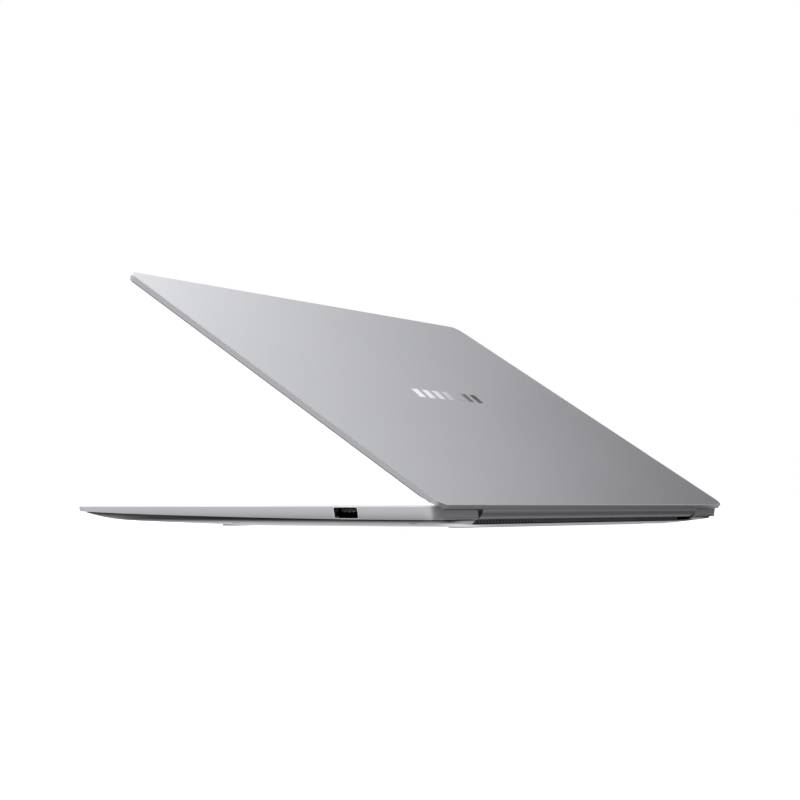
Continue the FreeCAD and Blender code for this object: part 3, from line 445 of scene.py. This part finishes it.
SURFACES = {
    "polished_inlay": dict(
        colour=(0.86, 0.86, 0.88), metallic=1.0, roughness=0.07, grain=1500.0, bump=0.02,
        depth=0.00001, mottle=60.0, colour_change=0.02, gloss_change=0.02),
    "key_plastic": dict(
        colour=(0.02, 0.02, 0.022), metallic=0.0, roughness=0.5, grain=4200.0, bump=0.25,
        depth=0.00003, mottle=30.0, colour_change=0.12, gloss_change=0.06),
    "black_plastic": dict(
        colour=(0.018, 0.018, 0.019), metallic=0.0, roughness=0.55, grain=2600.0, bump=0.3,
        depth=0.00004, mottle=30.0, colour_change=0.15, gloss_change=0.06),
    # Also on the seam gasket, a dark strip in the gap above the bottom cover that is painted shade of that gap.
    "soft_rubber": dict(
        colour=(0.025, 0.025, 0.026), metallic=0.0, roughness=0.8, grain=2200.0, bump=0.4,
        depth=0.00005, mottle=50.0, colour_change=0.15, gloss_change=0.06),
    "foot_rubber": dict(
        colour=(0.30, 0.30, 0.31), metallic=0.0, roughness=0.8, grain=2200.0, bump=0.4,
        depth=0.00005, mottle=50.0, colour_change=0.1, gloss_change=0.05),
    "screen_off": dict(
        colour=(0.012, 0.013, 0.017), metallic=0.0, roughness=0.07, grain=900.0, bump=0.01,
        depth=0.00001, mottle=8.0, colour_change=0.12, gloss_change=0.015),
    "display_glass": dict(
        colour=(0.006, 0.006, 0.008), metallic=0.0, roughness=0.05, grain=700.0, bump=0.01,
        depth=0.00001, mottle=12.0, colour_change=0.1, gloss_change=0.015),
    "trackpad_surface": dict(
        colour=(0.36, 0.36, 0.375), metallic=0.35, roughness=0.42, grain=3800.0, bump=0.08,
        depth=0.00002, mottle=14.0, colour_change=0.03, gloss_change=0.03),
    "circuit_board": dict(
        colour=(0.012, 0.06, 0.04), metallic=0.0, roughness=0.35, grain=900.0, bump=0.3,
        depth=0.00005, mottle=120.0, colour_change=0.3, gloss_change=0.08),
    "display_stack": dict(colour=(0.03, 0.03, 0.035), metallic=0.0, roughness=0.3),
    "power_key": dict(colour=(0.05, 0.05, 0.055), metallic=0.2, roughness=0.35, grain=4200.0, bump=0.15),
    "legend_print": dict(colour=(0.62, 0.62, 0.64), metallic=0.0, roughness=0.5, grain=5000.0, bump=0.05),
    "lens_glass": dict(colour=(0.01, 0.008, 0.02), metallic=0.2, roughness=0.06, grain=2000.0, bump=0.01),
    "lamp_lens": dict(colour=(0.20, 0.22, 0.20), metallic=0.0, roughness=0.2, grain=2000.0, bump=0.02),
    "dark_steel": dict(colour=(0.10, 0.10, 0.105), metallic=1.0, roughness=0.32, grain=1800.0, bump=0.15),
    # Near white and little metallic: the bright cut edge, made brighter as a painted highlight.
    "cut_edge_highlight": dict(colour=(0.92, 0.92, 0.93), metallic=0.35, roughness=0.3, grain=3000.0, bump=0.05),
    "gold": dict(colour=(0.75, 0.55, 0.22), metallic=1.0, roughness=0.28, grain=2400.0, bump=0.08),
    # Painted shade: near black over the inner edge of each opening.
    "port_mouth_shade": dict(colour=(0.03, 0.03, 0.032), metallic=0.3, roughness=0.5, grain=2400.0, bump=0.1),
    # Vent grille: aluminium given a darker grey as painted shade in the recess under the hinge cover.
    "anodised_painted_shade": dict(colour=(0.22, 0.22, 0.23), metallic=0.8, roughness=0.45, grain=2400.0, bump=0.1),
    # Near black steel: painted shade deep inside the ports.
    "port_steel_painted_shade": dict(colour=(0.05, 0.05, 0.05), metallic=1.0, roughness=0.4, grain=1800.0, bump=0.1),
    "blackened_fins": dict(colour=(0.02, 0.02, 0.022), metallic=0.6, roughness=0.55, grain=1800.0, bump=0.2),
    "grille_metal": dict(colour=(0.42, 0.42, 0.44), metallic=1.0, roughness=0.4, grain=4200.0, bump=0.1),
    "steel": dict(colour=(0.58, 0.57, 0.55), metallic=1.0, roughness=0.28, grain=1800.0, bump=0.1),
    "chip": dict(colour=(0.03, 0.03, 0.032), metallic=0.0, roughness=0.45, grain=3000.0, bump=0.2),
    "copper": dict(colour=(0.80, 0.42, 0.26), metallic=1.0, roughness=0.3, grain=1600.0, bump=0.15),
    "battery_wrap": dict(colour=(0.03, 0.03, 0.033), metallic=0.0, roughness=0.5, grain=600.0, bump=0.2),
    "flat_cable": dict(colour=(0.12, 0.07, 0.02), metallic=0.0, roughness=0.35, grain=1200.0, bump=0.1),
}


def make_materials():
    materials = {name: textured(name, **look) for name, look in SURFACES.items()}
    materials["deck"] = make_aluminium("anodised_base", Vector((0, 0, 1)), tone=0.5, glint=0.30)
    # Same metal as the deck: the lid's lower tone is painted shade.
    materials["lid"] = make_aluminium("anodised_lid_painted_shade", LID_BACK_NORMAL, tone=0.42, glint=0.03)
    materials["cover"] = make_cover_metal()
    return materials


OWN_MATERIAL = {
    "usb_a_shell": "port_steel_painted_shade",
    "usb_c_ports": "port_steel_painted_shade",
    "rear_vent_grille": "anodised_painted_shade",
    "bottom_cover": "cover",
}


def dress_frame(materials):
    """Give every CAD node its own material, or else the material of its slot in the record."""
    slots = {part["node"]: part["material_slot"] for part in frame["record"]["subparts"]}
    lid_nodes = set(frame["record"]["behaviour"]["bodies"]["lid"])
    for name, node in frame["nodes"].items():
        slot = slots[name]
        if name in OWN_MATERIAL:
            chosen = materials[OWN_MATERIAL[name]]
        elif slot == "anodised_aluminium":
            chosen = materials["lid" if name in lid_nodes else "deck"]
        else:
            chosen = materials[slot]
        for place in node.material_slots:
            place.material = chosen


# Mesh helpers

def finish_mesh(name, shape, material, body, smooth=True):
    """Turn a bmesh into an object with its faces outward that rides a body."""
    bmesh.ops.recalc_face_normals(shape, faces=shape.faces)
    mesh = bpy.data.meshes.new(name)
    shape.to_mesh(mesh)
    shape.free()
    made = bpy.data.objects.new(name, mesh)
    bpy.context.scene.collection.objects.link(made)
    mesh.materials.append(material)
    if smooth:
        for face in mesh.polygons:
            face.use_smooth = True
    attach(made, body)
    return made


def turns(count):
    """Evenly spaced angles of one full turn."""
    return [2 * math.pi * step / count for step in range(count)]


def ring_points(x0, x1, y0, y1, radius, steps=5):
    """Points around a rounded rectangle, anticlockwise."""
    points = []
    corners = ((x1 - radius, y0 + radius, -90), (x1 - radius, y1 - radius, 0),
               (x0 + radius, y1 - radius, 90), (x0 + radius, y0 + radius, 180))
    for cx, cy, start in corners:
        for step in range(steps + 1):
            angle = math.radians(start + 90.0 * step / steps)
            points.append((cx + radius * math.cos(angle), cy + radius * math.sin(angle)))
    return points


def add_rings(shape, rings, close_first=False, close_last=True):
    """Skin a stack of rings of 3-D points with the same count, and fill the chosen ends."""
    rows = [[shape.verts.new(point) for point in ring] for ring in rings]
    for low, high in zip(rows, rows[1:]):
        count = len(low)
        for index in range(count):
            after = (index + 1) % count
            shape.faces.new((low[index], low[after], high[after], high[index]))
    if close_first:
        shape.faces.new(rows[0])
    if close_last:
        shape.faces.new(rows[-1])


def islands(node):
    """Low and high corners of each separate solid in one CAD node, back row first, then from the left."""
    mesh = node.data
    parent = {}

    def root(key):
        while parent[key] != key:
            parent[key] = parent[parent[key]]
            key = parent[key]
        return key

    keys = [tuple(round(value, 6) for value in vertex.co) for vertex in mesh.vertices]
    for key in keys:
        parent[key] = key
    for edge in mesh.edges:
        first, second = (root(keys[index]) for index in edge.vertices)
        parent[first] = second
    boxes = {}
    for key in parent:
        low, high = boxes.setdefault(root(key), (list(key), list(key)))
        for axis in range(3):
            low[axis] = min(low[axis], key[axis])
            high[axis] = max(high[axis], key[axis])
    return sorted(boxes.values(), key=lambda box: (-round(box[1][1], 4), box[0][0]))


# Key caps: the profile and the dish hold millimetres, and the dish's first number is a share of its reach

KEY_CORNER = 0.8 * MM
CAP_SHOULDER = 0.7
CAP_PROFILE = ((0.0, -1.7), (0.10, -0.5), (0.2, -0.2), (0.4, -0.05), (CAP_SHOULDER, 0.0))
CAP_DISH = ((0.25, -0.05), (0.5, -0.09), (0.75, -0.12), (1.0, -0.13))
DISH_MARGIN = 2.0 * MM
DISH_ROUNDING = 0.4 * MM


def add_key_cap(shape, low, high):
    """Moulded cap with drafted sides, a round shoulder and a shallow dish."""

    def ring(edge, radius, z):
        outline = ring_points(low[0] + edge, high[0] - edge, low[1] + edge, high[1] - edge, radius)
        return [(x, y, z) for x, y in outline]

    rings = []
    for inset, drop in CAP_PROFILE:
        rings.append(ring(inset * MM, KEY_CORNER, max(high[2] + drop * MM, low[2])))
    reach = min(high[0] - low[0], high[1] - low[1]) / 2 - DISH_MARGIN
    for share, drop in CAP_DISH:
        edge = CAP_SHOULDER * MM + share * reach
        rings.append(ring(edge, KEY_CORNER + share * DISH_ROUNDING, high[2] + drop * MM))
    add_rings(shape, rings, close_first=True)


def make_key_caps(materials):
    """Moulded caps that stand for the CAD blocks, one piece for each key body. Returns the keys' boxes."""
    boxes = {}
    for body, nodes in frame["record"]["behaviour"]["bodies"].items():
        for name in nodes:
            if name != "power_button" and not body.endswith("_body"):
                continue
            shape = bmesh.new()
            boxes[name] = islands(frame["nodes"][name])
            for low, high in boxes[name]:
                add_key_cap(shape, low, high)
            material = materials["power_key" if name == "power_button" else "key_plastic"]
            caps = finish_mesh(name + "_caps", shape, material, body)
            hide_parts(name)
    return boxes


# Key legends

LEGENDS = {
    "function_row_keys": ["Esc"] + ["F%d" % number for number in range(1, 13)] + ["Del"],
    "number_row_keys": list("`1234567890-="),
    "backspace_key": ["Backspace"],
    "top_letter_row_keys": ["Tab"] + list("QWERTYUIOP[]") + ["\\"],
    "home_row_keys": ["Caps"] + list("ASDFGHJKL;'"),
    "enter_key": ["Enter"],
    "left_shift_key": ["Shift"],
    "bottom_letter_row_keys": list("ZXCVBNM,./"),
    "right_shift_key": ["Shift"],
    "modifier_row_keys": ["Ctrl", "Fn", "Win", "Alt", "Alt", "Ctrl"],
}
LETTER_SIZE = 4.6 * MM
WORD_SIZE = 2.7 * MM
LEGEND_DROP = 0.10 * MM
ARROW_REACH = 1.1 * MM
ARROW_COLUMN = 6 * MM
ARROW_ROW = 1 * MM


def add_text(shape, words, size, place):
    """Flat letters, read from the front edge of the machine."""
    curve = bpy.data.curves.new("legend", "FONT")
    curve.body = words
    curve.size = size
    curve.align_x = "CENTER"
    curve.align_y = "CENTER"
    curve.resolution_u = 3
    writer = bpy.data.objects.new("legend", curve)
    flat = bpy.data.meshes.new_from_object(writer)
    flat.transform(Matrix.Translation(place))
    shape.from_mesh(flat)
    bpy.data.objects.remove(writer)
    bpy.data.curves.remove(curve)
    bpy.data.meshes.remove(flat)


def legend_place(low, high):
    """Point over the middle of a key, just above the cap's dish."""
    return Vector(((low[0] + high[0]) / 2, (low[1] + high[1]) / 2, high[2] - LEGEND_DROP))


def finish_legends(name, shape, materials):
    """Printed piece of one group of keys, on that group's body."""
    legends = finish_mesh(name + "_legends", shape, materials["legend_print"], name + "_body", smooth=False)


def make_legends(boxes, materials):
    """Printed letters and words."""
    for name, words in LEGENDS.items():
        shape = bmesh.new()
        for (low, high), word in zip(boxes[name], words):
            size = LETTER_SIZE if len(word) == 1 else WORD_SIZE
            add_text(shape, word, size, legend_place(low, high))
        finish_legends(name, shape, materials)


def make_arrow_legends(boxes, materials):
    """Printed triangles that point left, up, down and right."""
    shape = bmesh.new()
    centres = [legend_place(low, high) for low, high in boxes["arrow_keys"]]
    middle = sum(centres, Vector()) / len(centres)
    for centre in centres:
        across = centre.x - middle.x
        if abs(across) > ARROW_COLUMN:
            points_to = 180 if across < 0 else 0
        else:
            points_to = 90 if centre.y > middle.y + ARROW_ROW else -90
        corners = []
        for turn in turns(3):
            angle = math.radians(points_to) + turn
            corner = centre + Vector((math.cos(angle), math.sin(angle), 0)) * ARROW_REACH
            corners.append(shape.verts.new(corner))
        shape.faces.new(corners)
    finish_legends("arrow_keys", shape, materials)


# Screen side of the lid, in millimetres from the hinge axis with the lid closed

GLASS_Z = 3.4
PICTURE_LIFT = 0.01
PICTURE_EDGES = (-143.2, 143.2, -202.6, -17.6)
PICTURE_CORNER = 1.2
WEBCAM_Y = -206.5
LENS_PROFILE = ((2.0, -0.005), (1.9, -0.03), (1.5, -0.03), (1.35, -0.01), (0.9, -0.02), (0.4, -0.04))
LENS_STEPS = 32
LAMP_X = 8.0
LAMP_HALF = (0.5, 0.4)
LAMP_CORNER = 0.35
LAMP_PROFILE = ((1.0, -0.004), (0.8, -0.03))


def lid_point(x, y, z):
    """Point given in millimetres from the hinge axis with the lid closed, moved to the rest pose."""
    return LID_FRAME @ Vector((x * MM, y * MM, z * MM))


def make_picture_area(materials):
    """Picture area, just proud of the glass and a shade lighter than its black border."""
    shape = bmesh.new()
    outline = ring_points(*PICTURE_EDGES, PICTURE_CORNER)
    shape.faces.new([shape.verts.new(lid_point(x, y, GLASS_Z - PICTURE_LIFT)) for x, y in outline])
    screen = finish_mesh("screen_picture_area", shape, materials["screen_off"], "lid", smooth=False)


def make_webcam(materials):
    """Lens and lamp of the camera above the picture, a little proud of the glass."""
    shape = bmesh.new()
    rings = []
    for radius, z in LENS_PROFILE:
        rings.append([
            lid_point(radius * math.cos(turn), WEBCAM_Y + radius * math.sin(turn), GLASS_Z + z)
            for turn in turns(LENS_STEPS)
        ])
    add_rings(shape, rings)
    lens = finish_mesh("camera_lens", shape, materials["lens_glass"], "lid")
    shape = bmesh.new()
    half_x, half_y = LAMP_HALF
    outline = ring_points(-half_x, half_x, -half_y, half_y, LAMP_CORNER)
    rings = []
    for scale, z in LAMP_PROFILE:
        rings.append([lid_point(LAMP_X + x * scale, WEBCAM_Y + y * scale, GLASS_Z + z) for x, y in outline])
    add_rings(shape, rings)
    lamp = finish_mesh("camera_lamp", shape, materials["lamp_lens"], "lid")


# Bottom screws: the profile holds radius, rise and lobe depth in millimetres

SCREW_PROFILE = (
    (1.7, 0.4, 0.0), (1.7, 0.12, 0.0), (1.6, 0.02, 0.0), (1.45, 0.0, 0.0),
    (0.78, 0.0, 0.13), (0.74, 0.04, 0.13), (0.72, 0.30, 0.13),
)
SCREW_LOBES = 6
SCREW_STEPS = 36


def make_bottom_screws(materials):
    """Screw heads with a six-lobed socket."""
    shape = bmesh.new()
    for low, high in islands(frame["nodes"]["bottom_screws"]):
        cx = (low[0] + high[0]) / 2
        cy = (low[1] + high[1]) / 2
        rings = []
        for radius, rise, lobe in SCREW_PROFILE:
            ring = []
            for turn in turns(SCREW_STEPS):
                reach = (radius + lobe * math.cos(SCREW_LOBES * turn)) * MM
                x = cx + reach * math.cos(turn)
                y = cy + reach * math.sin(turn)
                ring.append((x, y, low[2] + rise * MM))
            rings.append(ring)
        add_rings(shape, rings, close_first=True)
    screws = finish_mesh("bottom_screw_heads", shape, materials["dark_steel"], "base", smooth=False)
    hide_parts("bottom_screws")


# Ports in the side walls, in millimetres; the profiles hold (growth, depth) pairs

Port = namedtuple("Port", "side y z width height corner")
USB_A = Port(side=1, y=58.15, z=6.95, width=12.0, height=4.1, corner=0.5)
USB_C_FRONT = Port(side=-1, y=52.0, z=7.0, width=8.34, height=2.56, corner=1.23)
USB_C_REAR = Port(side=-1, y=66.0, z=7.0, width=8.34, height=2.56, corner=1.23)
AUDIO = Port(side=-1, y=36.0, z=6.6, width=3.6, height=3.6, corner=1.8)
WALL_TOP_Z = 9.7
WALL_SLOPE = math.tan(math.radians(14.0))
RIM_PROFILE = ((0.66, -0.005), (0.60, -0.02), (0.38, -0.02), (0.33, 0.02))
MOUTH_SHADE_PROFILE = ((0.345, -0.008), (0.31, 0.02), (-0.01, 0.33), (-0.015, 0.6))
CONTACT_OFFSETS = (-3.5, -1.1, 1.1, 3.5)
CONTACT_X = (140.8, 147.1)
CONTACT_HALF_WIDTH = 0.5
CONTACT_CORNER = 0.25
CONTACT_PROFILE = ((0.0, 7.5), (0.0, 7.39), (-0.12, 7.34))


def make_port_rings(name, profile, material):
    """Ring around each opening in the side walls, which lean inwards below their top."""
    shape = bmesh.new()
    for port in (USB_A, USB_C_FRONT, USB_C_REAR, AUDIO):
        rings = []
        for grow, depth in profile:
            half_w = port.width / 2 + grow
            half_h = port.height / 2 + grow
            outline = ring_points(port.y - half_w, port.y + half_w, port.z - half_h, port.z + half_h,
                                  port.corner + grow, steps=6)
            ring = []
            for y, z in outline:
                wall = HALF_WIDTH / MM - (WALL_TOP_Z - z) * WALL_SLOPE
                ring.append((port.side * (wall - depth) * MM, y * MM, z * MM))
            rings.append(ring)
        add_rings(shape, rings, close_last=False)
    made = finish_mesh(name, shape, material, "base")


def make_contacts(materials):
    """Gold spring contacts under the tongue of the USB-A port."""
    shape = bmesh.new()
    for offset in CONTACT_OFFSETS:
        y = USB_A.y + offset
        rings = []
        for grow, z in CONTACT_PROFILE:
            half = CONTACT_HALF_WIDTH + grow
            outline = ring_points(CONTACT_X[0] - grow, CONTACT_X[1] + grow, y - half, y + half,
                                  CONTACT_CORNER, steps=3)
            rings.append([(px * MM, py * MM, z * MM) for px, py in outline])
        add_rings(shape, rings, close_first=True)
    contacts = finish_mesh("usb_a_contacts", shape, materials["gold"], "base", smooth=False)


def soften_edges(name, width):
    """Round the hard edges of one CAD node."""
    bevel = frame["nodes"][name].modifiers.new("soft_edges", "BEVEL")
    bevel.width = width
    bevel.segments = 3
    bevel.limit_method = "ANGLE"
    bevel.angle_limit = math.radians(40)


bpy.context.scene.view_settings.view_transform = "Standard"
make_camera()
make_world()
make_floor()
make_lights()
materials = make_materials()
dress_frame(materials)
key_boxes = make_key_caps(materials)
make_legends(key_boxes, materials)
make_arrow_legends(key_boxes, materials)
make_picture_area(materials)
make_webcam(materials)
make_bottom_screws(materials)
# Rims: flat near-white rings all round each opening, a painted highlight on the cut edge.
make_port_rings("port_rims", RIM_PROFILE, materials["cut_edge_highlight"])
# Painted shade: dark rings over the inner edges of the openings, where the metal chamfer would show.
make_port_rings("port_mouth_shades", MOUTH_SHADE_PROFILE, materials["port_mouth_shade"])
make_contacts(materials)
soften_edges("rubber_feet", 0.4 * MM)
